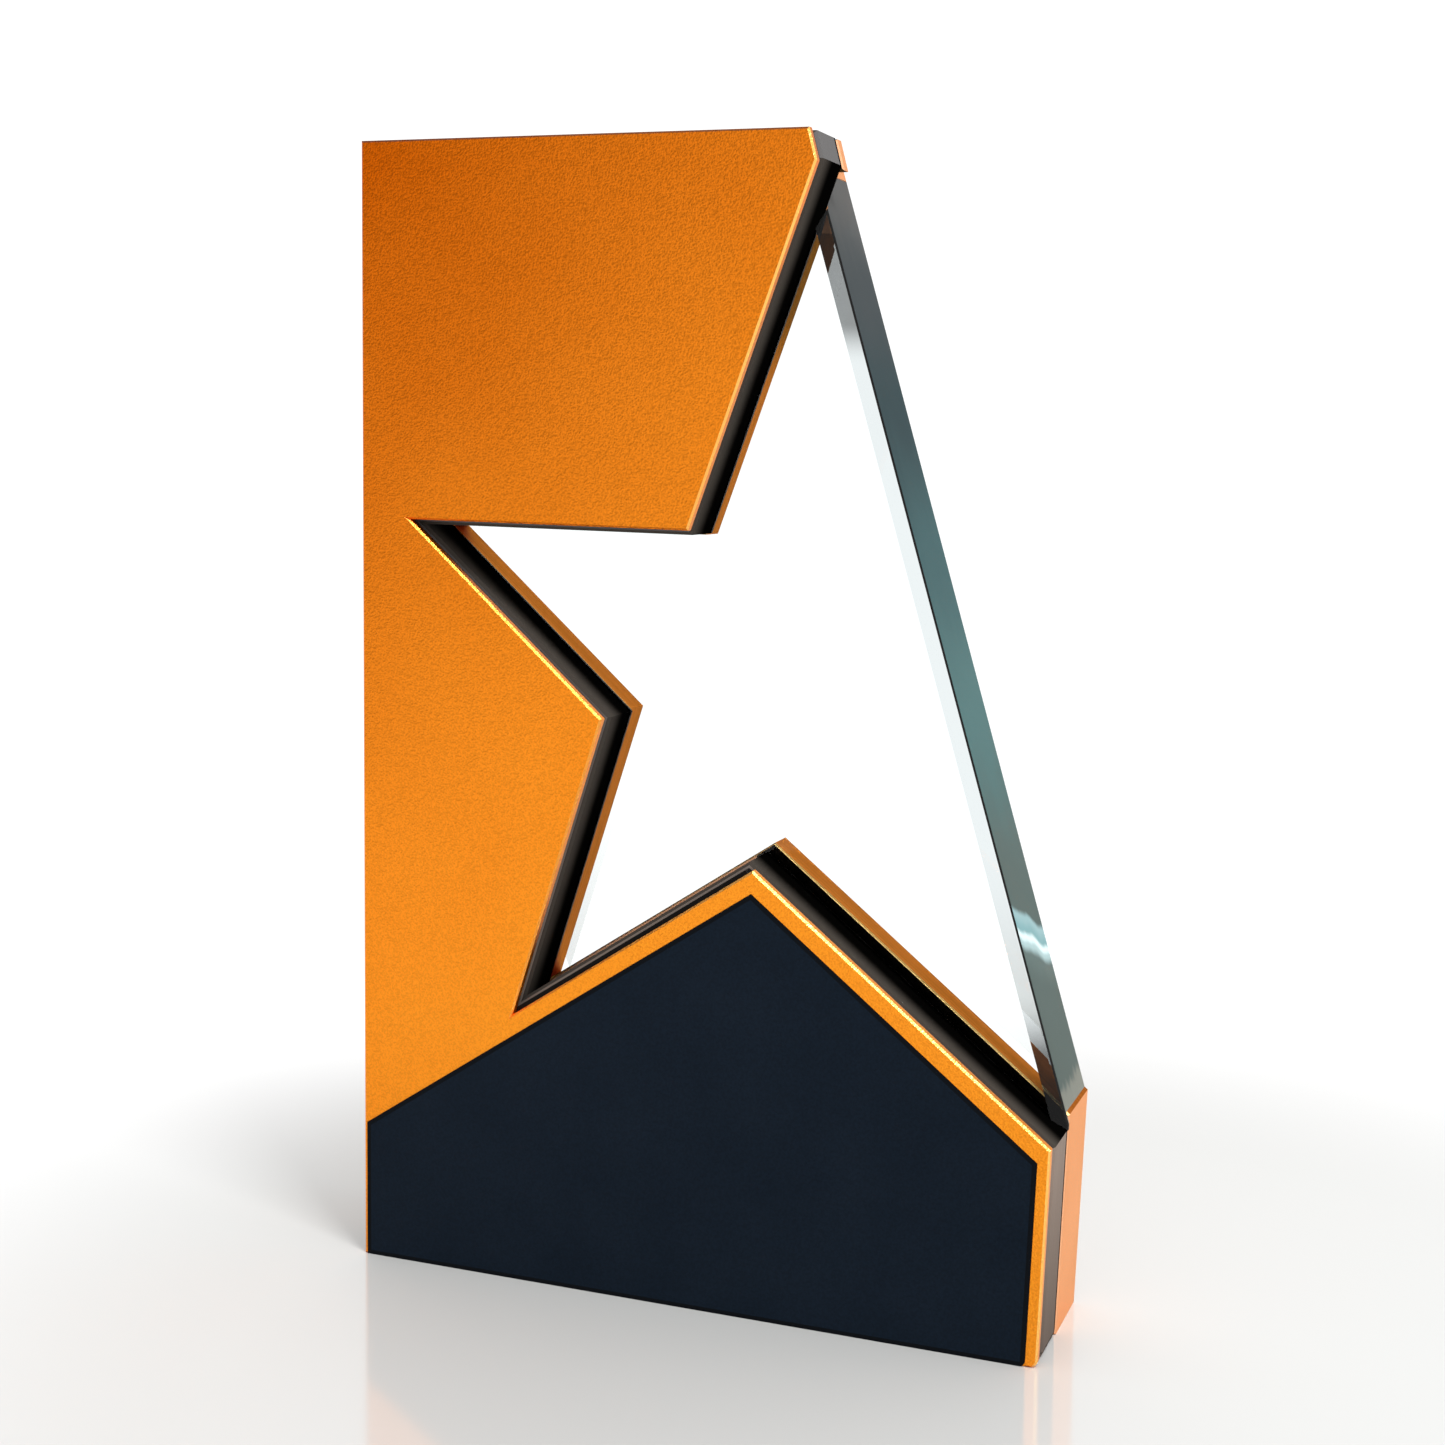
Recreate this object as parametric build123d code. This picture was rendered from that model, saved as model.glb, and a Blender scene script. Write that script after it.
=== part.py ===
from build123d import *
import os

# Star trophy: a layered slab award with a star opening whose right arm is cut away by a long
# diagonal. Lengths are in millimetres. X runs to the right, Y to the rear, Z up.
# The outline is drawn with x = 0 at the left side and y = 0 at the front of the gold plate;
# ORIGIN_X and ORIGIN_Y move every piece so that the origin is under the middle of the part.

# Overall size
HEIGHT = 200.0
BASE_WIDTH = 126.4
SHOULDER_WIDTH = 127.2
SHOULDER_HEIGHT = 37.3
TOP_WIDTH = 81.6

# Depth of each layer, counted from the front of the gold plate
PANEL_PROUD = 0.15
PANEL_POCKET = 0.25
PLATE_REAR = 1.5
CORE_FRONT = 3.6
CORE_REAR = 13.3
INNER_PLATE_FRONT = 14.3
INNER_PLATE_REAR = 16.5
BODY_REAR = 29.6
CRYSTAL_FRONT = 11.5

# Corners of the star opening in the front plate
TOP_TIP = (83.0, 194.8)
UPPER_NOTCH = (61.9, 135.2)
LEFT_TIP = (9.4, 135.4)
LEFT_NOTCH = (46.6, 102.5)
LOWER_TIP = (29.9, 48.6)
LOWER_NOTCH = (74.7, 78.7)
RIGHT_TIP = (SHOULDER_WIDTH, SHOULDER_HEIGHT)

# How far each star side stands inside the front star, from the top tip round to the right tip.
# A negative value makes the opening wider than the front one.
FRONT_INSETS = (0.0, 0.0, 0.0, 0.0, 0.0, 0.0)
CORE_INSETS = (-0.4, 0.9, 0.1, 0.1, 1.7, -0.5)
REAR_INSETS = (-1.4, 1.2, 0.0, -0.4, 2.5, 1.4)

# The crystal and the rear body are cut by a steeper diagonal than the front layers
REAR_TOP_WIDTH = 76.9
REAR_SHOULDER_WIDTH = 126.7
REAR_SHOULDER_HEIGHT = 39.4

# Near the top the rear star side turns outward so that the crystal ends in a longer point
CRYSTAL_POINT_HEIGHT = 194.9
CRYSTAL_KINK_HEIGHT = 184.5

# The rear of the star opening flares out round the crystal
FLARE_DEPTH = 6.5
FLARE_ANGLE = 15.5
FLARE_END_GAP = 4.0

# Edge treatment
PLATE_ARRIS = 0.35
CORE_ARRIS = 0.5
INNER_PLATE_ARRIS = 0.3
CRYSTAL_FACET_WIDTH = 2.1
CRYSTAL_FACET_DEPTH = 2.2
BOND_INSET = 0.9
CORNER_RADIUS = 1.3
PANEL_CORNER_RADIUS = 1.0
TOLERANCE = 0.001

# Printed panel
PANEL_LEFT = 0.6
PANEL_RIGHT_GAP = 2.0
PANEL_TOP_GAP = 3.15
PANEL_CLEARANCE = 0.06
PANEL_BEVEL_WIDTH = 0.8
PANEL_BEVEL_DEPTH = 0.1
POCKET_OVERCUT = 1.0


def line_through(first, second):
    """Return a point and a unit direction for the straight line through two points."""
    direction = Vector(second[0] - first[0], second[1] - first[1]).normalized()
    return Vector(*first), direction


def moved_line(line, inset):
    """Move a line to its left-hand side by the inset."""
    point, direction = line
    normal = Vector(-direction.Y, direction.X)
    return point + normal * inset, direction


def crossing(line_a, line_b):
    """Return the point where two lines cross, as an (x, z) pair."""
    point_a, direction_a = line_a
    point_b, direction_b = line_b
    gap = point_b - point_a
    turn = direction_a.X * direction_b.Y - direction_a.Y * direction_b.X
    travel = (gap.X * direction_b.Y - gap.Y * direction_b.X) / turn
    found = point_a + direction_a * travel
    return found.X, found.Y


FRONT_DIAGONAL = line_through((TOP_WIDTH, HEIGHT), RIGHT_TIP)
REAR_DIAGONAL = line_through((REAR_TOP_WIDTH, HEIGHT), (REAR_SHOULDER_WIDTH, REAR_SHOULDER_HEIGHT))
RIGHT_SIDE = line_through((BASE_WIDTH, 0.0), RIGHT_TIP)
TOP_SIDE = line_through((0.0, HEIGHT), (TOP_WIDTH, HEIGHT))


def star_sides(insets):
    """Return the six star sides as lines, each moved into the opening by its inset."""
    corners = [TOP_TIP, UPPER_NOTCH, LEFT_TIP, LEFT_NOTCH, LOWER_TIP, LOWER_NOTCH, RIGHT_TIP]
    sides = []
    for index, inset in enumerate(insets):
        side = line_through(corners[index], corners[index + 1])
        sides.append(moved_line(side, inset))
    return sides


# The widest point is where the rear star side meets the right side
ORIGIN_X = crossing(star_sides(REAR_INSETS)[5], RIGHT_SIDE)[0] / 2
ORIGIN_Y = (BODY_REAR - PANEL_PROUD) / 2


def star_corners(insets, diagonal):
    """Return the star corners from the right side round to the top tip."""
    sides = star_sides(insets)
    corners = [crossing(sides[5], RIGHT_SIDE)]
    for index in (5, 4, 3, 2, 1):
        corners.append(crossing(sides[index], sides[index - 1]))
    corners.append(crossing(sides[0], diagonal))
    return corners


def slab_outline(insets, diagonal):
    """Return the outline of a full-size layer with its star opening."""
    corners = [(0.0, 0.0), (BASE_WIDTH, 0.0)]
    corners += star_corners(insets, diagonal)
    corners.append(crossing(diagonal, TOP_SIDE))
    corners.append((0.0, HEIGHT))
    return corners


def flat_face(corners):
    """Make a face in the plane of the slab, facing the front."""
    placed = [(x - ORIGIN_X, z) for x, z in corners]
    return make_face(Plane.XZ * Polyline(*placed, close=True))


def layer(face, front, rear):
    """Give a face depth, from the front distance to the rear distance."""
    placed = Pos(0, front - ORIGIN_Y, 0) * face
    return extrude(placed, amount=rear - front, dir=(0, 1, 0))


def front_edges(solid, front):
    """Return the edges that lie in the front plane of a layer."""
    level = front - ORIGIN_Y
    return [edge for edge in solid.edges() if edge.bounding_box().max.Y < level + TOLERANCE]


def panel_corners(gap, bottom_height):
    """Return the outline of the printed panel, shrunk by a clearance gap, down to a height."""
    bottom = line_through((0.0, bottom_height), (BASE_WIDTH, bottom_height))
    left = line_through((PANEL_LEFT + gap, 0.0), (PANEL_LEFT + gap, HEIGHT))
    right = moved_line(RIGHT_SIDE, PANEL_RIGHT_GAP + gap)
    top_inset = -PANEL_TOP_GAP - gap
    sides = star_sides((0.0, 0.0, 0.0, 0.0, top_inset, top_inset))
    corners = [crossing(left, bottom), crossing(bottom, right)]
    corners.append(crossing(right, sides[5]))
    corners.append(crossing(sides[5], sides[4]))
    corners.append(crossing(sides[4], left))
    return corners


def lower_right_edge(solid):
    """Return the edge along the depth at the bottom right corner."""
    edges = solid.edges().filter_by(Axis.Y)
    return max(edges, key=lambda edge: edge.center().X - edge.center().Z)


def front_gold_plate():
    face = flat_face(slab_outline(FRONT_INSETS, FRONT_DIAGONAL))
    plate = layer(face, 0.0, PLATE_REAR)
    plate = fillet(lower_right_edge(plate), CORNER_RADIUS)
    plate = chamfer(front_edges(plate, 0.0), PLATE_ARRIS)
    pocket_face = flat_face(panel_corners(0.0, -POCKET_OVERCUT))
    return plate - layer(pocket_face, -POCKET_OVERCUT, PANEL_POCKET)


def navy_print_panel():
    panel = layer(flat_face(panel_corners(PANEL_CLEARANCE, 0.0)), -PANEL_PROUD, PANEL_POCKET)
    panel = fillet(lower_right_edge(panel), PANEL_CORNER_RADIUS)
    front_face = min(panel.faces(), key=lambda face: face.center().Y)
    edges = front_edges(panel, -PANEL_PROUD)
    return chamfer(edges, PANEL_BEVEL_WIDTH, PANEL_BEVEL_DEPTH, reference=front_face)


def bond_layer(insets, front, rear):
    face = flat_face(slab_outline(insets, FRONT_DIAGONAL))
    inset_face = offset(face, amount=-BOND_INSET, kind=Kind.INTERSECTION)
    return layer(inset_face, front, rear)


def black_core():
    face = flat_face(slab_outline(CORE_INSETS, FRONT_DIAGONAL))
    core = layer(face, CORE_FRONT, CORE_REAR)
    core = fillet(lower_right_edge(core), CORNER_RADIUS)
    return chamfer(front_edges(core, CORE_FRONT), CORE_ARRIS)


def rear_star_corners(insets):
    """Return the rear star from the right side to the kink below the top point."""
    sides = star_sides(insets)
    level = line_through((0.0, CRYSTAL_KINK_HEIGHT), (TOP_WIDTH, CRYSTAL_KINK_HEIGHT))
    corners = star_corners(insets, REAR_DIAGONAL)[:-1]
    corners.append(crossing(sides[0], level))
    return corners


def crystal_point():
    """Return the top point of the crystal, on the rear diagonal."""
    level = line_through((0.0, CRYSTAL_POINT_HEIGHT), (TOP_WIDTH, CRYSTAL_POINT_HEIGHT))
    return crossing(REAR_DIAGONAL, level)


def inner_gold_plate():
    level = line_through((0.0, CRYSTAL_POINT_HEIGHT), (TOP_WIDTH, CRYSTAL_POINT_HEIGHT))
    corners = [(0.0, 0.0), (BASE_WIDTH, 0.0)]
    corners += rear_star_corners(REAR_INSETS)
    corners.append(crystal_point())
    corners.append(crossing(FRONT_DIAGONAL, level))
    corners.append((TOP_WIDTH, HEIGHT))
    corners.append((0.0, HEIGHT))
    plate = layer(flat_face(corners), INNER_PLATE_FRONT, INNER_PLATE_REAR)
    return chamfer(front_edges(plate, INNER_PLATE_FRONT), INNER_PLATE_ARRIS)


def flare_cutter():
    """Return the tapered solid that widens the rear of the star opening."""
    end = moved_line(REAR_DIAGONAL, -FLARE_END_GAP)
    corners = star_corners(REAR_INSETS, end)
    corners[0] = crossing(star_sides(REAR_INSETS)[5], end)
    face = Pos(0, BODY_REAR - FLARE_DEPTH - ORIGIN_Y, 0) * flat_face(corners)
    return extrude(face, amount=FLARE_DEPTH, dir=(0, 1, 0), taper=-FLARE_ANGLE)


def copper_rear_body():
    corners = [(0.0, 0.0), (BASE_WIDTH, 0.0)]
    corners += rear_star_corners(REAR_INSETS)
    corners.append(crystal_point())
    corners.append((REAR_TOP_WIDTH, HEIGHT))
    corners.append((0.0, HEIGHT))
    body = layer(flat_face(corners), INNER_PLATE_REAR, BODY_REAR)
    return body - flare_cutter()


def facet_plane():
    """Return the plane of the polished facet along the front edge of the diagonal."""
    point, direction = REAR_DIAGONAL
    outward = Vector(-direction.Y, direction.X)
    facet_rear = CRYSTAL_FRONT + CRYSTAL_FACET_DEPTH - ORIGIN_Y
    origin = (point.X - ORIGIN_X, facet_rear, point.Y)
    slope = (outward.X * CRYSTAL_FACET_DEPTH, -CRYSTAL_FACET_WIDTH, outward.Y * CRYSTAL_FACET_DEPTH)
    return Plane(origin=origin, z_dir=slope)


def crystal_star_insert():
    rear_corners = rear_star_corners(REAR_INSETS)
    rear_corners[0] = crossing(star_sides(REAR_INSETS)[5], REAR_DIAGONAL)
    rear_corners.append(crystal_point())
    rear = layer(flat_face(rear_corners), INNER_PLATE_FRONT, BODY_REAR)
    boss_corners = star_corners(CORE_INSETS, REAR_DIAGONAL)
    boss_corners.append(crossing(REAR_DIAGONAL, RIGHT_SIDE))
    boss = layer(flat_face(boss_corners), CRYSTAL_FRONT, INNER_PLATE_FRONT)
    return split(rear + boss, bisect_by=facet_plane(), keep=Keep.BOTTOM)


PIECES = {
    "front_gold_plate": front_gold_plate(),
    "navy_print_panel": navy_print_panel(),
    "front_bond_layer": bond_layer(CORE_INSETS, PLATE_REAR, CORE_FRONT),
    "black_core": black_core(),
    "rear_bond_layer": bond_layer(CORE_INSETS, CORE_REAR, INNER_PLATE_FRONT),
    "inner_gold_plate": inner_gold_plate(),
    "copper_rear_body": copper_rear_body(),
    "crystal_star_insert": crystal_star_insert(),
}

os.makedirs("parts", exist_ok=True)
for name, piece in PIECES.items():
    export_step(piece, f"parts/{name}.step")
    print(name, len(piece.solids()), piece.bounding_box())
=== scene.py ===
"""Looks of the star trophy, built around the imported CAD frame. Lengths are metres unless noted."""
import math

import bmesh
import bpy
from mathutils import Matrix, Vector


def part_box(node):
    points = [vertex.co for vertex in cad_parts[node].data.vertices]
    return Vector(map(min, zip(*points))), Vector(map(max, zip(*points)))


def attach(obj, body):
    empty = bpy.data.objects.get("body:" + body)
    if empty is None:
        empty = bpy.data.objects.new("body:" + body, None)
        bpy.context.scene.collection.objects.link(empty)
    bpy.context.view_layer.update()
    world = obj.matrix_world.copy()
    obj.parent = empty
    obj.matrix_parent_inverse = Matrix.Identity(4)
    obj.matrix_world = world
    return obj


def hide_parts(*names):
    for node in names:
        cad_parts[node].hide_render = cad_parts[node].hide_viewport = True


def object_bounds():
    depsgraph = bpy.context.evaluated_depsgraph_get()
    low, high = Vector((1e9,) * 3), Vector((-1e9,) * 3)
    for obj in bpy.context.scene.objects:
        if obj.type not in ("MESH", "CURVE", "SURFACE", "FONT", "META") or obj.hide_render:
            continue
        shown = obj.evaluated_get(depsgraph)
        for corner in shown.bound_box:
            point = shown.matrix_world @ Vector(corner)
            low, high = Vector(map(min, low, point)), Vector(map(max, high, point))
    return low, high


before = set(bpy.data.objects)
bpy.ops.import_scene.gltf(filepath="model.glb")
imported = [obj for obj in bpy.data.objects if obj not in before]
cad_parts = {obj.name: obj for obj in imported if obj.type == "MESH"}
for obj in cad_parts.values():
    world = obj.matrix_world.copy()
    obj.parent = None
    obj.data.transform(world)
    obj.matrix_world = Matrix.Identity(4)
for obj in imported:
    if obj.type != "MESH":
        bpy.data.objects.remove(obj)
cad_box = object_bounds()

MM = 0.001
scene = bpy.context.scene
scene.view_settings.view_transform = "Standard"
scene.view_settings.look = "None"
# Light crosses many crystal surfaces, or is reflected by them, before it comes out
scene.cycles.max_bounces = 24
scene.cycles.glossy_bounces = 16
scene.cycles.transmission_bounces = 16

# Camera
EYE = Vector((130.0, -337.7, 150.0)) * MM
YAW = math.radians(-19.98)
PITCH = math.radians(-7.63)
ROLL = math.radians(1.258)
LENS = 52.05
SHIFT_X = -0.0286

# Front plate
# Painted light: the gold goes from the first colour at the top left towards the second at the bottom
# right
GOLD_PAINTED_SHADE = (0.64, 0.118, 0.0015)
GOLD_PAINTED_LIT = (1.0, 0.32, 0.020)
# Painted highlight on the chamfers, stronger to the right
GOLD_ARRIS_HIGHLIGHT = (0.97, 0.52, 0.13)
GOLD_PAINTED_LIGHT_LEFT_TO_RIGHT = (-62.0 * MM, 20.0 * MM)
GOLD_PAINTED_LIGHT_TOP_TO_BOTTOM = (195.0 * MM, 45.0 * MM)
ARRIS_HIGHLIGHT_LEFT_TO_RIGHT = (-20.0 * MM, 10.0 * MM)

# Inner plate and rear body
COPPER_DEEP = (0.85, 0.415, 0.220)
COPPER_LIGHT = (0.91, 0.465, 0.255)
COPPER_SHEEN = (1.0, 0.62, 0.34)
# Painted highlight along the front of the inner plate's star walls, and how deep it reaches
INNER_ARRIS_HIGHLIGHT = (1.0, 0.68, 0.25)
INNER_ARRIS_HIGHLIGHT_DEPTH = 0.5 * MM
WALL_LIGHT = (0.52, 0.170, 0.052)
WALL_DARK = (0.36, 0.11, 0.030)
# Painted shade on the star walls, darker from the first height to the second
WALL_SHADE_HEIGHTS = (158.0 * MM, 174.0 * MM)
# Painted shade on the right part of the ledge that the crystal rests on
LEDGE_SHADE = (0.0012, 0.0010, 0.0009)
LEDGE_SHADE_START = 7.0 * MM

# Navy panel and glue layers
NAVY_DARK = (0.0034, 0.0078, 0.0150)
NAVY_LIGHT = (0.0048, 0.0098, 0.0180)
NAVY_BORDER = (0.0018, 0.0028, 0.0045)
BLACK_DARK = (0.0016, 0.0015, 0.0014)
BLACK_LIGHT = (0.003, 0.0028, 0.0026)

# Core
# Painted shade: the star walls go from the lit colour at the front to black at the rear, over the
# fade
CORE_WALL_SHADED = (0.0010, 0.0009, 0.0008)
CORE_WALL_LIT = (0.055, 0.047, 0.040)
CORE_WALL_SHADE_FADE = (0.5 * MM, 5.5 * MM)
# Painted reflection on the black core's outer sides, dimmer towards the foot and higher up
CORE_SIDE_REFLECTION_DARK = (0.235, 0.187, 0.158)
CORE_SIDE_REFLECTION_LIGHT = (0.260, 0.206, 0.174)
CORE_SIDE_REFLECTION_UPPER = (0.125, 0.121, 0.120)
CORE_REFLECTION_FOOT_HEIGHTS = (2.0 * MM, 34.0 * MM)
CORE_REFLECTION_UPPER_HEIGHTS = (60.0 * MM, 120.0 * MM)
# Painted shade along the side's rear edge, at the gap before the rear bond layer
CORE_REAR_SHADE_LINE = (0.004, 0.004, 0.004)
CORE_REAR_SHADE_LINE_WIDTH = 0.7 * MM

# Crystal
GLASS_IOR = 1.5
GLASS_REFLECTION = (0.35, 0.35, 0.35)
GLASS_DEPTH_TINT = (0.30, 0.72, 0.74)
# Painted shade on the facet: grey, darker towards its bottom and top ends
FACET_SHADE_GREY = (0.66, 0.70, 0.71)
FACET_LOW_SHADE_END = (49.0 * MM, 60.0 * MM)
FACET_HIGH_SHADE_END = (163.0 * MM, 170.0 * MM)

# Painted reflection and shade on the crystal's cut edge from its bottom to its top, and the painted
# highlight of the slanting streak across it
EDGE_PAINTED_TONES = (
    (0.00, (0.210, 0.218, 0.185)),
    (0.025, (0.190, 0.200, 0.170)),
    (0.035, (0.070, 0.098, 0.088)),
    (0.25, (0.066, 0.100, 0.092)),
    (0.42, (0.060, 0.140, 0.140)),
    (0.60, (0.034, 0.088, 0.094)),
    (0.75, (0.014, 0.036, 0.042)),
    (0.88, (0.034, 0.044, 0.048)),
    (1.00, (0.085, 0.085, 0.083)),
)
STREAK_HIGHLIGHT_HEIGHTS = (62.0 * MM, 77.5 * MM)
STREAK_HIGHLIGHT_SLOPE = 0.44
STREAK_HIGHLIGHT_TONES = (
    (0.00, (0.0, 0.0, 0.0)),
    (0.30, (0.02, 0.03, 0.03)),
    (0.42, (0.30, 0.42, 0.44)),
    (0.50, (0.62, 0.76, 0.78)),
    (0.58, (0.12, 0.26, 0.29)),
    (0.72, (0.20, 0.33, 0.36)),
    (0.80, (0.0, 0.0, 0.0)),
)
# The way the cut edge faces
CUT_EDGE_OUTWARD = Vector((0.955, 0.0, 0.296))
# How far the crystal is grown into the parts it is bonded to
BOND = 0.06 * MM
# How far the narrow dark flat between the facet and the cut edge reaches to either side
EDGE_LINE = 0.33 * MM
# A crystal face is a wall when no more of its normal than this points to the front or the rear
WALL_LEAN = 0.2
# Normals of the facet, and of the dark flat beside it, point to the front by this much
FACET_LEAN = (0.2, 0.95)
EDGE_LINE_LEAN = (0.25, 0.55)
# The crystal's material slots after the first, which is glass
CUT_EDGE_SLOT = 1
# Black painted shade on the crystal's dark flat and in its glue gap
PAINTED_SHADE_SLOT = 2

# Stage
FLOOR_COLOUR = (0.635, 0.64, 0.63)
FLOOR_HALF = 6.0
FLOOR_DROP = 0.02 * MM
FLOOR_FADE_SHIFT = (-50.0 * MM, 20.0 * MM, 0.0)
FLOOR_FADE_RADII = (125.0 * MM, 260.0 * MM)
WHITE = (1.0, 1.0, 1.0)
# Strength of the surroundings as they are seen, and as they light the object
WHITE_LEVEL = 1.12
FRONT_LEFT_LEVEL = 0.42
FRONT_RIGHT_LEVEL = 1.10
REAR_LEVEL = 0.85

# A chamfer's normal leans to the front by more than the first and less than the second, and that
# of the chamfer along the top rises by more than the third
CHAMFER_LEAN = 0.3
FLAT_LEAN = 0.95
TOP_CHAMFER_RISE = 0.65

# Most of a noise lies between the first pair, and using the second gives more contrast
NOISE_RANGE = (0.30, 0.70)
NOISE_NARROW = (0.35, 0.65)


def make_camera():
    forward = Vector((
        math.sin(YAW) * math.cos(PITCH),
        math.cos(YAW) * math.cos(PITCH),
        math.sin(PITCH),
    ))
    level = Vector((math.cos(YAW), -math.sin(YAW), 0.0))
    over = level.cross(forward)
    right = level * math.cos(ROLL) + over * math.sin(ROLL)
    up = over * math.cos(ROLL) - level * math.sin(ROLL)
    data = bpy.data.cameras.new("camera")
    data.sensor_width = 36.0
    data.lens = LENS
    data.shift_x = SHIFT_X
    data.clip_start = 0.01
    data.clip_end = 50.0
    camera = bpy.data.objects.new("camera", data)
    turn = Matrix((right, up, -forward)).transposed().to_4x4()
    camera.matrix_world = Matrix.Translation(EYE) @ turn
    scene.collection.objects.link(camera)
    scene.camera = camera


# ---------------------------------------------------------------- node helpers
def new_material(name):
    mat = bpy.data.materials.new(name)
    mat.use_nodes = True
    tree = mat.node_tree
    return mat, tree, tree.nodes["Principled BSDF"]


def material_output(tree):
    return next(node for node in tree.nodes if node.type == "OUTPUT_MATERIAL")


def set_or_link(tree, socket, value):
    """Give a socket a number, a colour or the result of another node."""
    if isinstance(value, (int, float)):
        socket.default_value = value
    elif isinstance(value, tuple):
        socket.default_value = (*value, 1.0)
    else:
        tree.links.new(value, socket)


def coordinates(tree, kind):
    """X, Y and Z of the place ("Object") or of the way the surface faces ("Normal")."""
    coords = tree.nodes.new("ShaderNodeTexCoord")
    split = tree.nodes.new("ShaderNodeSeparateXYZ")
    tree.links.new(coords.outputs[kind], split.inputs["Vector"])
    return split.outputs["X"], split.outputs["Y"], split.outputs["Z"]


def value_noise(tree, scale, detail, distortion=0.0, stretch=(1, 1, 1)):
    coords = tree.nodes.new("ShaderNodeTexCoord")
    mapping = tree.nodes.new("ShaderNodeMapping")
    mapping.inputs["Scale"].default_value = stretch
    noise = tree.nodes.new("ShaderNodeTexNoise")
    noise.inputs["Scale"].default_value = scale
    noise.inputs["Detail"].default_value = detail
    noise.inputs["Roughness"].default_value = 0.5
    noise.inputs["Distortion"].default_value = distortion
    tree.links.new(coords.outputs["Object"], mapping.inputs["Vector"])
    tree.links.new(mapping.outputs["Vector"], noise.inputs["Vector"])
    return noise.outputs["Fac"]


def remap(tree, value, from_low, from_high, to_low, to_high, smooth=False):
    node = tree.nodes.new("ShaderNodeMapRange")
    node.interpolation_type = "SMOOTHSTEP" if smooth else "LINEAR"
    node.inputs["From Min"].default_value = from_low
    node.inputs["From Max"].default_value = from_high
    node.inputs["To Min"].default_value = to_low
    node.inputs["To Max"].default_value = to_high
    tree.links.new(value, node.inputs["Value"])
    return node.outputs["Result"]


def spread(tree, noise, low, high, noise_range=NOISE_RANGE):
    """Stretch a noise over the values from low to high."""
    return remap(tree, noise, *noise_range, low, high)


def mix_colours(tree, blend_type, factor, first, second):
    node = tree.nodes.new("ShaderNodeMix")
    node.data_type = "RGBA"
    node.blend_type = blend_type
    set_or_link(tree, node.inputs["Factor"], factor)
    set_or_link(tree, node.inputs[6], first)
    set_or_link(tree, node.inputs[7], second)
    return node.outputs[2]


def blend_colour(tree, factor, first, second):
    return mix_colours(tree, "MIX", factor, first, second)


def multiply_colour(tree, first, second):
    return mix_colours(tree, "MULTIPLY", 1.0, first, second)


def blend_value(tree, factor, first, second):
    node = tree.nodes.new("ShaderNodeMix")
    set_or_link(tree, node.inputs["Factor"], factor)
    set_or_link(tree, node.inputs[2], first)
    set_or_link(tree, node.inputs[3], second)
    return node.outputs[0]


def maths(tree, operation, first, second=None):
    node = tree.nodes.new("ShaderNodeMath")
    node.operation = operation
    set_or_link(tree, node.inputs[0], first)
    if second is not None:
        set_or_link(tree, node.inputs[1], second)
    return node.outputs[0]


def absolute(tree, value):
    return maths(tree, "ABSOLUTE", value)


def above(tree, value, limit):
    return maths(tree, "GREATER_THAN", value, limit)


def below(tree, value, limit):
    return maths(tree, "LESS_THAN", value, limit)


def both(tree, first, second):
    return maths(tree, "MULTIPLY", first, second)


def either(tree, first, second):
    return maths(tree, "MAXIMUM", first, second)


def colour_ramp(tree, factor, stops):
    node = tree.nodes.new("ShaderNodeValToRGB")
    ramp = node.color_ramp
    ramp.interpolation = "EASE"
    while len(ramp.elements) < len(stops):
        ramp.elements.new(0.5)
    for element, (position, colour) in zip(ramp.elements, stops):
        element.position = position
        element.color = (*colour, 1.0)
    tree.links.new(factor, node.inputs["Fac"])
    return node.outputs["Color"]


def add_bump(tree, shader, height, strength, distance):
    bump = tree.nodes.new("ShaderNodeBump")
    bump.inputs["Strength"].default_value = strength
    bump.inputs["Distance"].default_value = distance
    tree.links.new(height, bump.inputs["Height"])
    tree.links.new(bump.outputs["Normal"], shader.inputs["Normal"])


# ---------------------------------------------------------------- masks, by the way a surface faces
def arris_highlight_mask(tree):
    """1 on the chamfers of the front edges that carry a painted highlight, all but the top and the
    left ones, and 0 elsewhere.
    """
    nx, ny, nz = coordinates(tree, "Normal")
    lean = absolute(tree, ny)
    slope = both(tree, above(tree, lean, CHAMFER_LEAN), below(tree, lean, FLAT_LEAN))
    not_top = below(tree, absolute(tree, nz), TOP_CHAMFER_RISE)
    not_left = above(tree, nx, -0.6)
    return both(tree, slope, both(tree, not_top, not_left))


def top_arris_mask(tree):
    """1 on the chamfer along the top edge."""
    _, ny, nz = coordinates(tree, "Normal")
    return both(tree, below(tree, ny, -CHAMFER_LEAN), above(tree, nz, TOP_CHAMFER_RISE))


def star_wall_mask(tree):
    """1 on the walls of the star opening, 0 on the outer sides, the front and the back."""
    nx, ny, nz = coordinates(tree, "Normal")
    _, _, z = coordinates(tree, "Object")
    upright = below(tree, absolute(tree, ny), 0.8)
    right = both(tree, above(tree, nx, 0.6), above(tree, nz, -0.1))
    outer_right = both(tree, right, below(tree, nz, 0.5))
    outer_left = below(tree, nx, -0.8)
    outer_top = above(tree, nz, 0.9)
    outer_bottom = below(tree, z, 1.0 * MM)
    outer_sides = either(tree, outer_right, outer_left)
    outer = either(tree, outer_sides, either(tree, outer_top, outer_bottom))
    return both(tree, upright, maths(tree, "SUBTRACT", 1.0, outer))


# ---------------------------------------------------------------- materials
def grain_height(tree):
    """Fine orange-peel grain, about half a millimetre across, and its coarse part by itself."""
    coarse = value_noise(tree, 3100.0, detail=0.0, distortion=0.3)
    fine = value_noise(tree, 1500.0, detail=1.0)
    return maths(tree, "ADD", coarse, maths(tree, "MULTIPLY", fine, 0.12)), coarse


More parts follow.
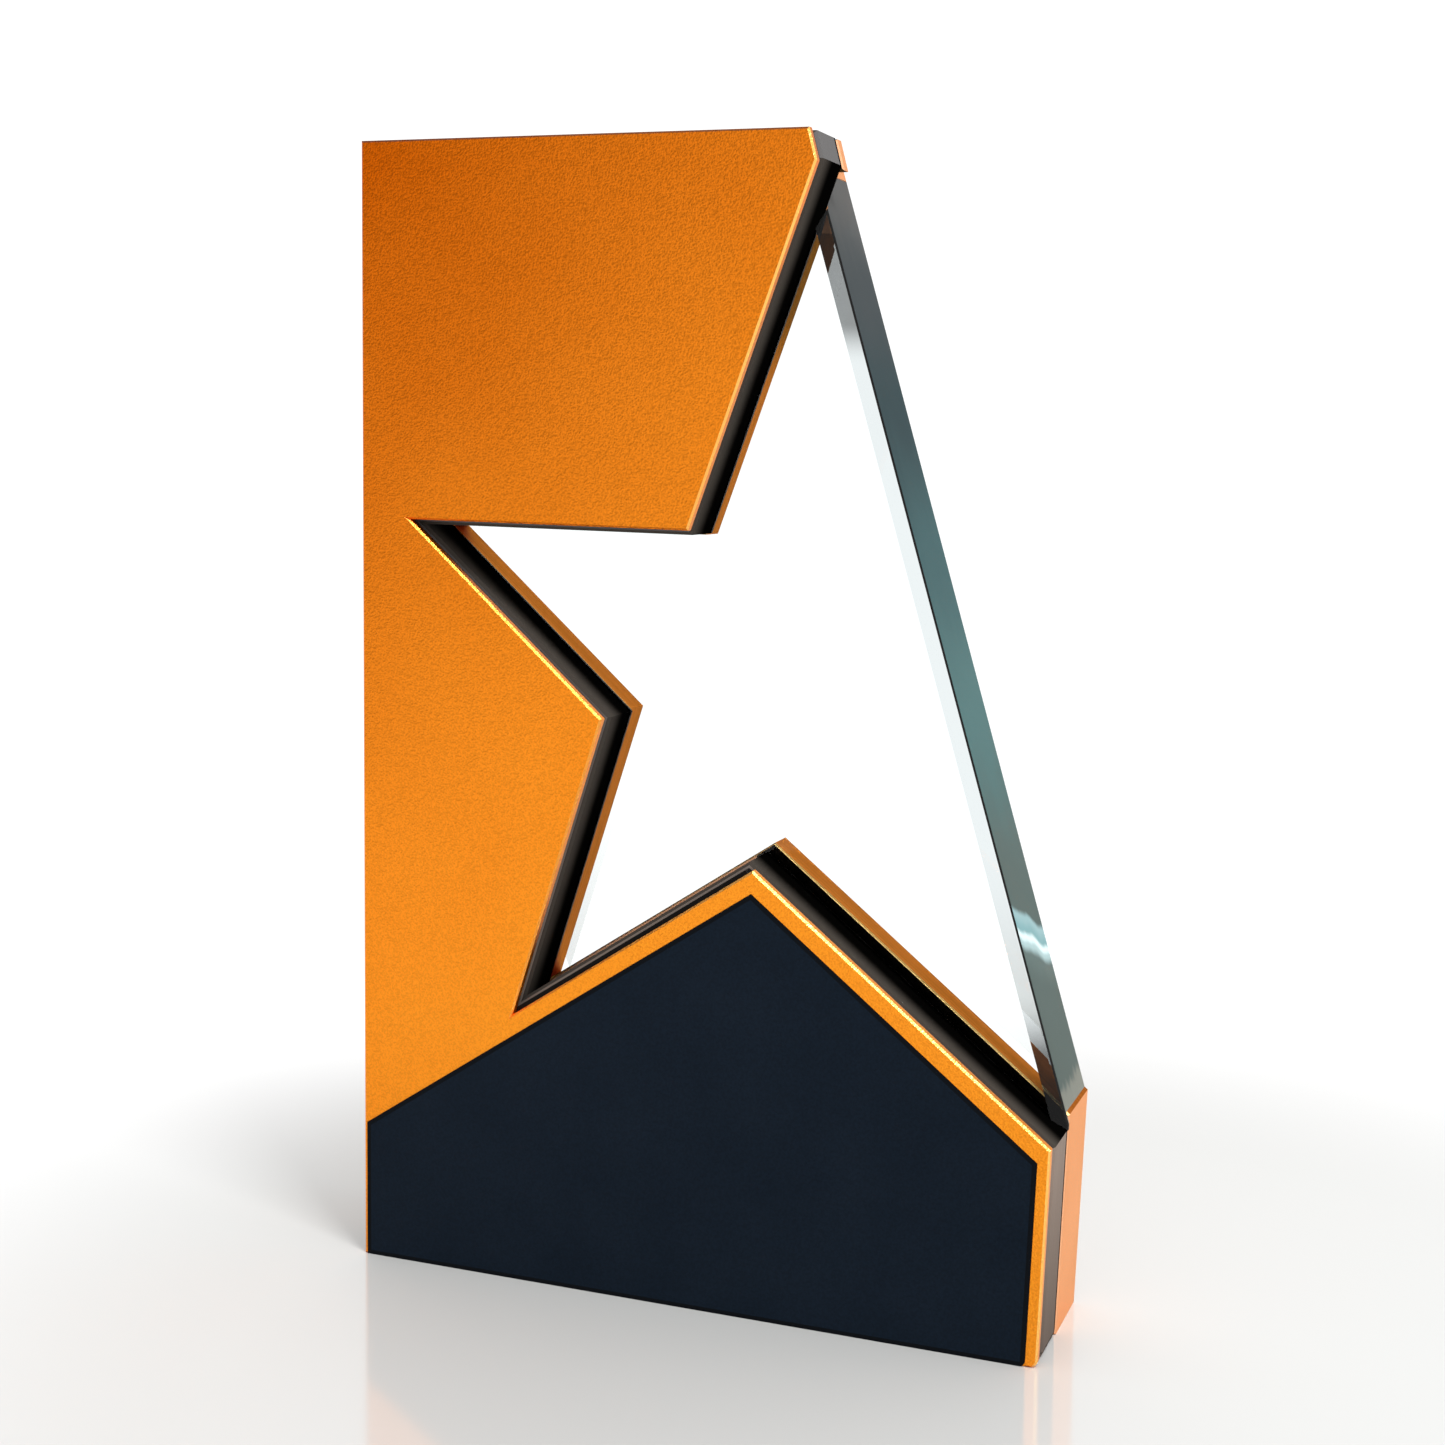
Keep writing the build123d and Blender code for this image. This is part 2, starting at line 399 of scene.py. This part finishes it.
def front_gold_material():
    """Grained gold with painted light that makes it lighter to the right and to the bottom, a
    painted highlight on the chamfers and painted shade on the top chamfer.
    """
    mat, tree, shader = new_material("gold_front")
    shader.inputs["Metallic"].default_value = 1.0
    x, _, z = coordinates(tree, "Object")
    # Painted light: lighter to the right and towards the bottom
    across = remap(tree, x, *GOLD_PAINTED_LIGHT_LEFT_TO_RIGHT, 0.0, 0.45)
    down = remap(tree, z, *GOLD_PAINTED_LIGHT_TOP_TO_BOTTOM, 0.0, 0.85)
    cloud = spread(tree, value_noise(tree, 30.0, detail=3.0), -0.06, 0.06)
    painted_light = maths(tree, "ADD", maths(tree, "ADD", across, down), cloud)
    body = blend_colour(tree, painted_light, GOLD_PAINTED_SHADE, GOLD_PAINTED_LIT)
    height, coarse = grain_height(tree)
    body = multiply_colour(tree, body, spread(tree, coarse, 0.88, 1.08))
    # Painted shade on the top chamfer
    body = multiply_colour(tree, body, remap(tree, top_arris_mask(tree), 0.0, 1.0, 1.0, 0.3))
    # Painted highlight on the chamfers, strongest to the right
    highlight_to_right = remap(tree, x, *ARRIS_HIGHLIGHT_LEFT_TO_RIGHT, 0.35, 1.0)
    arris_highlight = both(tree, arris_highlight_mask(tree), highlight_to_right)
    colour = blend_colour(tree, arris_highlight, body, GOLD_ARRIS_HIGHLIGHT)
    tree.links.new(colour, shader.inputs["Base Color"])
    tree.links.new(spread(tree, coarse, 0.33, 0.44), shader.inputs["Roughness"])
    add_bump(tree, shader, height, 1.0, 0.09 * MM)
    return mat


def rear_gold_material(name, wall, wall_dark, highlight_depth):
    """Copper-coloured on the outer sides and the back, a deeper orange on the star walls, with
    painted shade that darkens the walls towards the star's top tip.

    Just behind the plate's front, to the depth given, the walls carry a painted highlight, and the
    ledge that the crystal rests on has painted shade to the right.
    """
    mat, tree, shader = new_material(name)
    height, coarse = grain_height(tree)
    x, y, z = coordinates(tree, "Object")
    walls = star_wall_mask(tree)
    cloud = spread(tree, value_noise(tree, 40.0, detail=4.0), 0.0, 1.0)
    outer = blend_colour(tree, cloud, COPPER_DEEP, COPPER_LIGHT)
    streaks = value_noise(tree, 160.0, detail=3.0, stretch=(0.3, 9.0, 0.3))
    inner = blend_colour(tree, spread(tree, streaks, 0.0, 1.0, NOISE_NARROW), wall_dark, wall)
    # Painted shade: the walls darken towards the star's top tip
    shade = remap(tree, z, *WALL_SHADE_HEIGHTS, 1.0, 0.14, smooth=True)
    inner = multiply_colour(tree, inner, shade)
    body = blend_colour(tree, walls, outer, inner)
    if highlight_depth:
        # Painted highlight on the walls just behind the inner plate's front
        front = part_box("inner_gold_plate")[0].y
        highlight_rim = both(tree, below(tree, y, front + highlight_depth), walls)
        body = blend_colour(tree, highlight_rim, body, multiply_colour(tree, INNER_ARRIS_HIGHLIGHT, shade))
        # Painted shade on the right part of the ledge
        _, ny, _ = coordinates(tree, "Normal")
        ledge = both(tree, below(tree, ny, -0.9), above(tree, x, LEDGE_SHADE_START))
        body = blend_colour(tree, ledge, body, LEDGE_SHADE)
    body = multiply_colour(tree, body, spread(tree, coarse, 0.95, 1.03, NOISE_NARROW))
    tree.links.new(body, shader.inputs["Base Color"])
    tree.links.new(remap(tree, walls, 0.0, 1.0, 0.8, 1.0), shader.inputs["Metallic"])
    shader.inputs["Specular IOR Level"].default_value = 0.08
    shader.inputs["Specular Tint"].default_value = (*COPPER_SHEEN, 1.0)
    tree.links.new(spread(tree, coarse, 0.36, 0.46), shader.inputs["Roughness"])
    add_bump(tree, shader, height, 0.35, 0.02 * MM)
    return mat


def navy_material():
    """Satin navy print with a darker bevelled border."""
    mat, tree, shader = new_material("navy_print")
    _, ny, _ = coordinates(tree, "Normal")
    flat = above(tree, absolute(tree, ny), 0.9985)
    cloud = value_noise(tree, 60.0, detail=5.0)
    fine = value_noise(tree, 2200.0, detail=2.0)
    body = blend_colour(tree, spread(tree, cloud, 0.0, 1.0), NAVY_DARK, NAVY_LIGHT)
    body = multiply_colour(tree, body, spread(tree, fine, 0.85, 1.15, NOISE_NARROW))
    colour = blend_colour(tree, flat, NAVY_BORDER, body)
    tree.links.new(colour, shader.inputs["Base Color"])
    tree.links.new(spread(tree, fine, 0.42, 0.52), shader.inputs["Roughness"])
    shader.inputs["Specular IOR Level"].default_value = 0.06
    add_bump(tree, shader, fine, 0.25, 0.02 * MM)
    return mat


def black_material(name, roughness):
    """Satin black of the glue layers, and the black painted shade on the crystal's dark faces."""
    mat, tree, shader = new_material(name)
    cloud = value_noise(tree, 90.0, detail=4.0)
    fine = value_noise(tree, 1800.0, detail=2.0)
    colour = blend_colour(tree, spread(tree, cloud, 0.0, 1.0), BLACK_DARK, BLACK_LIGHT)
    tree.links.new(colour, shader.inputs["Base Color"])
    shader.inputs["Specular IOR Level"].default_value = 0.1
    gloss = spread(tree, fine, roughness - 0.04, roughness + 0.06)
    tree.links.new(gloss, shader.inputs["Roughness"])
    add_bump(tree, shader, fine, 0.2, 0.01 * MM)
    return mat


def core_material():
    """Star walls that go from grey to black towards the rear in painted shade, and satin outer sides
    made grey by a painted reflection.
    """
    mat, tree, shader = new_material("core_black")
    _, y, z = coordinates(tree, "Object")
    low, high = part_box("black_core")
    fine = value_noise(tree, 1800.0, detail=2.0)
    brushed = value_noise(tree, 120.0, detail=4.0, stretch=(0.4, 12.0, 0.4))
    fade_start, fade_end = CORE_WALL_SHADE_FADE
    # Painted shade, darker towards the rear of the recess
    depth = remap(tree, y, low.y + fade_start, low.y + fade_end, 1.0, 0.0, smooth=True)
    wall = blend_colour(tree, depth, CORE_WALL_SHADED, CORE_WALL_LIT)
    # Painted reflection on the outer sides, dimmer towards the foot and higher up
    side = blend_colour(tree, spread(tree, brushed, 0.0, 1.0), CORE_SIDE_REFLECTION_DARK, CORE_SIDE_REFLECTION_LIGHT)
    side = multiply_colour(tree, side, remap(tree, z, *CORE_REFLECTION_FOOT_HEIGHTS, 0.55, 1.0))
    upper = remap(tree, z, *CORE_REFLECTION_UPPER_HEIGHTS, 0.0, 1.0)
    side = blend_colour(tree, upper, side, CORE_SIDE_REFLECTION_UPPER)
    # Painted shade along the rear edge
    behind = above(tree, y, high.y - CORE_REAR_SHADE_LINE_WIDTH)
    side = blend_colour(tree, behind, side, CORE_REAR_SHADE_LINE)
    colour = blend_colour(tree, star_wall_mask(tree), side, wall)
    tree.links.new(colour, shader.inputs["Base Color"])
    tree.links.new(spread(tree, fine, 0.42, 0.52), shader.inputs["Roughness"])
    # No reflection of its own: the sides' reflection is painted into the colour
    shader.inputs["Specular IOR Level"].default_value = 0.0
    add_bump(tree, shader, fine, 0.08, 0.005 * MM)
    return mat


def crystal_material():
    """Clear optical glass with a trace of teal in its depth, and painted shade on the facet: a
    little grey, darker towards its bottom and top ends.

    Volume absorption belongs to one material, so the facet is told apart by its normal.
    """
    mat, tree, shader = new_material("crystal")
    _, ny, _ = coordinates(tree, "Normal")
    _, _, z = coordinates(tree, "Object")
    lean = absolute(tree, ny)
    facet = both(tree, above(tree, lean, FACET_LEAN[0]), below(tree, lean, FACET_LEAN[1]))
    # Painted shade on the facet, darker towards its ends
    low_shade = remap(tree, z, *FACET_LOW_SHADE_END, 0.05, 1.0, smooth=True)
    high_shade = remap(tree, z, *FACET_HIGH_SHADE_END, 1.0, 0.12, smooth=True)
    facet_shade = multiply_colour(tree, FACET_SHADE_GREY, maths(tree, "MULTIPLY", low_shade, high_shade))
    tree.links.new(blend_colour(tree, facet, WHITE, facet_shade), shader.inputs["Base Color"])
    shader.inputs["Roughness"].default_value = 0.0
    shader.inputs["IOR"].default_value = GLASS_IOR
    shader.inputs["Transmission Weight"].default_value = 1.0
    shader.inputs["Specular Tint"].default_value = (*GLASS_REFLECTION, 1.0)
    volume = tree.nodes.new("ShaderNodeVolumeAbsorption")
    volume.inputs["Color"].default_value = (*GLASS_DEPTH_TINT, 1.0)
    volume.inputs["Density"].default_value = 4.0
    tree.links.new(volume.outputs["Volume"], material_output(tree).inputs["Volume"])
    return mat


def crystal_edge_material():
    """The polished cut edge, teal from the depth of the crystal, with painted reflection and shade
    from its bottom to its top and a bright slanting streak of painted highlight.
    """
    mat, tree, shader = new_material("crystal_edge")
    low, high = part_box("crystal_star_insert")
    _, y, z = coordinates(tree, "Object")
    rise = remap(tree, z, low.z, high.z, 0.0, 1.0)
    cloud = value_noise(tree, 40.0, detail=3.0, stretch=(1.0, 2.5, 1.0))
    rise = maths(tree, "ADD", rise, spread(tree, cloud, -0.02, 0.02))
    # Painted reflection and shade, from bottom to top
    body = colour_ramp(tree, rise, EDGE_PAINTED_TONES)
    slant = maths(tree, "ADD", z, maths(tree, "MULTIPLY", y, STREAK_HIGHLIGHT_SLOPE))
    ripple = maths(tree, "ADD", slant, spread(tree, cloud, -0.8 * MM, 0.8 * MM))
    # Painted highlight in a slanting streak
    streak = colour_ramp(tree, remap(tree, ripple, *STREAK_HIGHLIGHT_HEIGHTS, 0.0, 1.0), STREAK_HIGHLIGHT_TONES)
    colour = mix_colours(tree, "ADD", 1.0, body, streak)
    tree.links.new(colour, shader.inputs["Base Color"])
    shader.inputs["Roughness"].default_value = 0.35
    shader.inputs["IOR"].default_value = GLASS_IOR
    shader.inputs["Transmission Weight"].default_value = 0.15
    shader.inputs["Coat Weight"].default_value = 0.1
    shader.inputs["Coat Roughness"].default_value = 0.03
    shader.inputs["Specular IOR Level"].default_value = 0.0
    return mat


def dress(node, mat):
    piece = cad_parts[node]
    piece.data.materials.clear()
    piece.data.materials.append(mat)


def make_materials():
    dress("front_gold_plate", front_gold_material())
    inner_gold = rear_gold_material("gold_inner", WALL_LIGHT, WALL_LIGHT, INNER_ARRIS_HIGHLIGHT_DEPTH)
    dress("inner_gold_plate", inner_gold)
    dress("copper_rear_body", rear_gold_material("copper_rear", WALL_LIGHT, WALL_DARK, 0.0))
    dress("navy_print_panel", navy_material())
    dress("black_core", core_material())
    bond = black_material("bond_black", 0.6)
    dress("front_bond_layer", bond)
    dress("rear_bond_layer", bond)


# ---------------------------------------------------------------- crystal
def wall_direction(face):
    """The way a face points, without its lean to the front or the rear."""
    return Vector((face.normal.x, 0.0, face.normal.z)).normalized()


def bonded_move(vert):
    """The move that grows each bonded wall at a corner by BOND, or None where no wall meets it."""
    walls = []
    for face in vert.link_faces:
        if abs(face.normal.y) > WALL_LEAN:
            continue
        facing = wall_direction(face)
        growth = 0.0 if facing.dot(CUT_EDGE_OUTWARD) > 0.995 else BOND
        if all(facing.dot(other) < 0.999 for other, _ in walls):
            walls.append((facing, growth))
    if len(walls) == 1:
        return walls[0][0] * walls[0][1]
    if len(walls) >= 2:
        (a, grow_a), (b, grow_b) = walls[:2]
        turn = a.x * b.z - a.z * b.x
        if abs(turn) > 1e-3:
            move_x = (grow_a * b.z - grow_b * a.z) / turn
            move_z = (a.x * grow_b - b.x * grow_a) / turn
            return Vector((move_x, 0.0, move_z))
    return None


def grow_bonded_walls(work, plate_front):
    """Grow the star walls, and the step that rests on the inner plate, into their neighbours."""
    moves = [(vert, bonded_move(vert)) for vert in work.verts]
    for vert, move in moves:
        if move is not None:
            vert.co += move
            vert.co.x = min(vert.co.x, cad_box[1].x)
    for vert in work.verts:
        if abs(vert.co.y - plate_front) < 0.01 * MM:
            vert.co.y += BOND
    work.normal_update()


def cut_edge_line(work):
    """Cut a narrow flat along the edge between the facet and the cut edge."""
    facet = [f for f in work.faces if FACET_LEAN[0] < abs(f.normal.y) < FACET_LEAN[1]]
    cut = [f for f in work.faces if f.normal.dot(CUT_EDGE_OUTWARD) > 0.99]
    shared = [
        edge for edge in work.edges
        if any(f in facet for f in edge.link_faces) and any(f in cut for f in edge.link_faces)
    ]
    bmesh.ops.bevel(
        work, geom=shared, offset=EDGE_LINE, segments=1, affect="EDGES", profile=0.5,
    )


def assign_crystal_materials(mesh, core_rear, plate_front):
    """Glass by default, teal on the cut edge, black painted shade on the dark flat and in the glue
    gap.
    """
    for face in mesh.polygons:
        lean = abs(face.normal.y)
        if EDGE_LINE_LEAN[0] < lean < EDGE_LINE_LEAN[1]:
            face.material_index = PAINTED_SHADE_SLOT
        if lean > WALL_LEAN:
            continue
        if wall_direction(face).dot(CUT_EDGE_OUTWARD) > 0.995:
            face.material_index = CUT_EDGE_SLOT
        elif core_rear < face.center.y < plate_front:
            face.material_index = PAINTED_SHADE_SLOT


def make_crystal():
    """A copy of the CAD crystal, grown a little into its neighbours, as clear glue joins them."""
    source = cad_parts["crystal_star_insert"]
    core_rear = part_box("black_core")[1].y
    plate_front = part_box("inner_gold_plate")[0].y
    mesh = source.data.copy()
    mesh.name = "crystal"
    mesh.materials.clear()
    work = bmesh.new()
    work.from_mesh(mesh)
    bmesh.ops.remove_doubles(work, verts=work.verts, dist=0.002 * MM)
    bmesh.ops.dissolve_limit(
        work, angle_limit=math.radians(0.5), verts=work.verts, edges=work.edges,
    )
    for level in (core_rear, plate_front):
        parts = list(work.verts) + list(work.edges) + list(work.faces)
        bmesh.ops.bisect_plane(
            work, geom=parts, dist=0.001 * MM, plane_co=(0, level, 0), plane_no=(0, 1, 0),
        )
    work.normal_update()
    grow_bonded_walls(work, plate_front)
    cut_edge_line(work)
    work.to_mesh(mesh)
    work.free()
    crystal = bpy.data.objects.new("crystal", mesh)
    scene.collection.objects.link(crystal)
    mesh.materials.append(crystal_material())
    mesh.materials.append(crystal_edge_material())
    mesh.materials.append(black_material("crystal_rim", 0.5))
    assign_crystal_materials(mesh, core_rear, plate_front)
    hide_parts("crystal_star_insert")
    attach(crystal, "root")


# ---------------------------------------------------------------- stage and light
def make_floor():
    """A pale glossy floor that fades to plain white a short way from the object."""
    half = FLOOR_HALF
    corners = [(-half, -half, 0), (half, -half, 0), (half, half, 0), (-half, half, 0)]
    mesh = bpy.data.meshes.new("floor")
    mesh.from_pydata(corners, [], [(0, 1, 2, 3)])
    floor = bpy.data.objects.new("floor", mesh)
    floor.location.z = -FLOOR_DROP
    scene.collection.objects.link(floor)
    mat, tree, shader = new_material("floor")
    shader.inputs["Base Color"].default_value = (*FLOOR_COLOUR, 1)
    shader.inputs["Roughness"].default_value = 0.10
    shader.inputs["IOR"].default_value = 2.25
    coords = tree.nodes.new("ShaderNodeTexCoord")
    shifted = tree.nodes.new("ShaderNodeVectorMath")
    shifted.inputs[1].default_value = FLOOR_FADE_SHIFT
    length = tree.nodes.new("ShaderNodeVectorMath")
    length.operation = "LENGTH"
    tree.links.new(coords.outputs["Object"], shifted.inputs[0])
    tree.links.new(shifted.outputs["Vector"], length.inputs[0])
    fade = remap(tree, length.outputs["Value"], *FLOOR_FADE_RADII, 0.0, 1.0, smooth=True)
    clear = tree.nodes.new("ShaderNodeEmission")
    clear.inputs["Color"].default_value = (*WHITE, 1)
    clear.inputs["Strength"].default_value = WHITE_LEVEL
    mix = tree.nodes.new("ShaderNodeMixShader")
    tree.links.new(fade, mix.inputs[0])
    tree.links.new(shader.outputs[0], mix.inputs[1])
    tree.links.new(clear.outputs[0], mix.inputs[2])
    tree.links.new(mix.outputs[0], material_output(tree).inputs["Surface"])
    mesh.materials.append(mat)


def area_light(name, place, aim, width, power):
    data = bpy.data.lights.new(name, "AREA")
    data.shape = "SQUARE"
    data.size = width
    data.energy = power
    light = bpy.data.objects.new(name, data)
    light.location = place
    light.rotation_euler = (Vector(aim) - Vector(place)).to_track_quat("-Z", "Y").to_euler()
    scene.collection.objects.link(light)


def make_light():
    """White surroundings, which light the object less from the rear and least from the left."""
    world = bpy.data.worlds.new("studio")
    scene.world = world
    world.use_nodes = True
    tree = world.node_tree
    background = tree.nodes["Background"]
    x, y, _ = coordinates(tree, "Generated")
    rearward = remap(tree, y, -0.75, 0.15, 0.0, 1.0, smooth=True)
    front_level = remap(tree, x, -0.65, 0.0, FRONT_LEFT_LEVEL, FRONT_RIGHT_LEVEL, smooth=True)
    level = blend_value(tree, rearward, front_level, REAR_LEVEL)
    path = tree.nodes.new("ShaderNodeLightPath")
    seen = either(tree, path.outputs["Is Camera Ray"], path.outputs["Is Transmission Ray"])
    tree.links.new(blend_value(tree, seen, level, WHITE_LEVEL), background.inputs["Strength"])
    background.inputs["Color"].default_value = (*WHITE, 1)
    area_light("key", (0.55, -0.40, 1.20), aim=(0, 0, 0.05), width=0.3, power=11.0)
    area_light("top", (-0.1, 0.45, 1.3), aim=(0, 0, 0), width=1.2, power=1.5)
    area_light("side", (1.1, 0.15, 0.30), aim=(0, 0, 0.08), width=0.6, power=2.0)


make_camera()
make_floor()
make_light()
make_materials()
make_crystal()
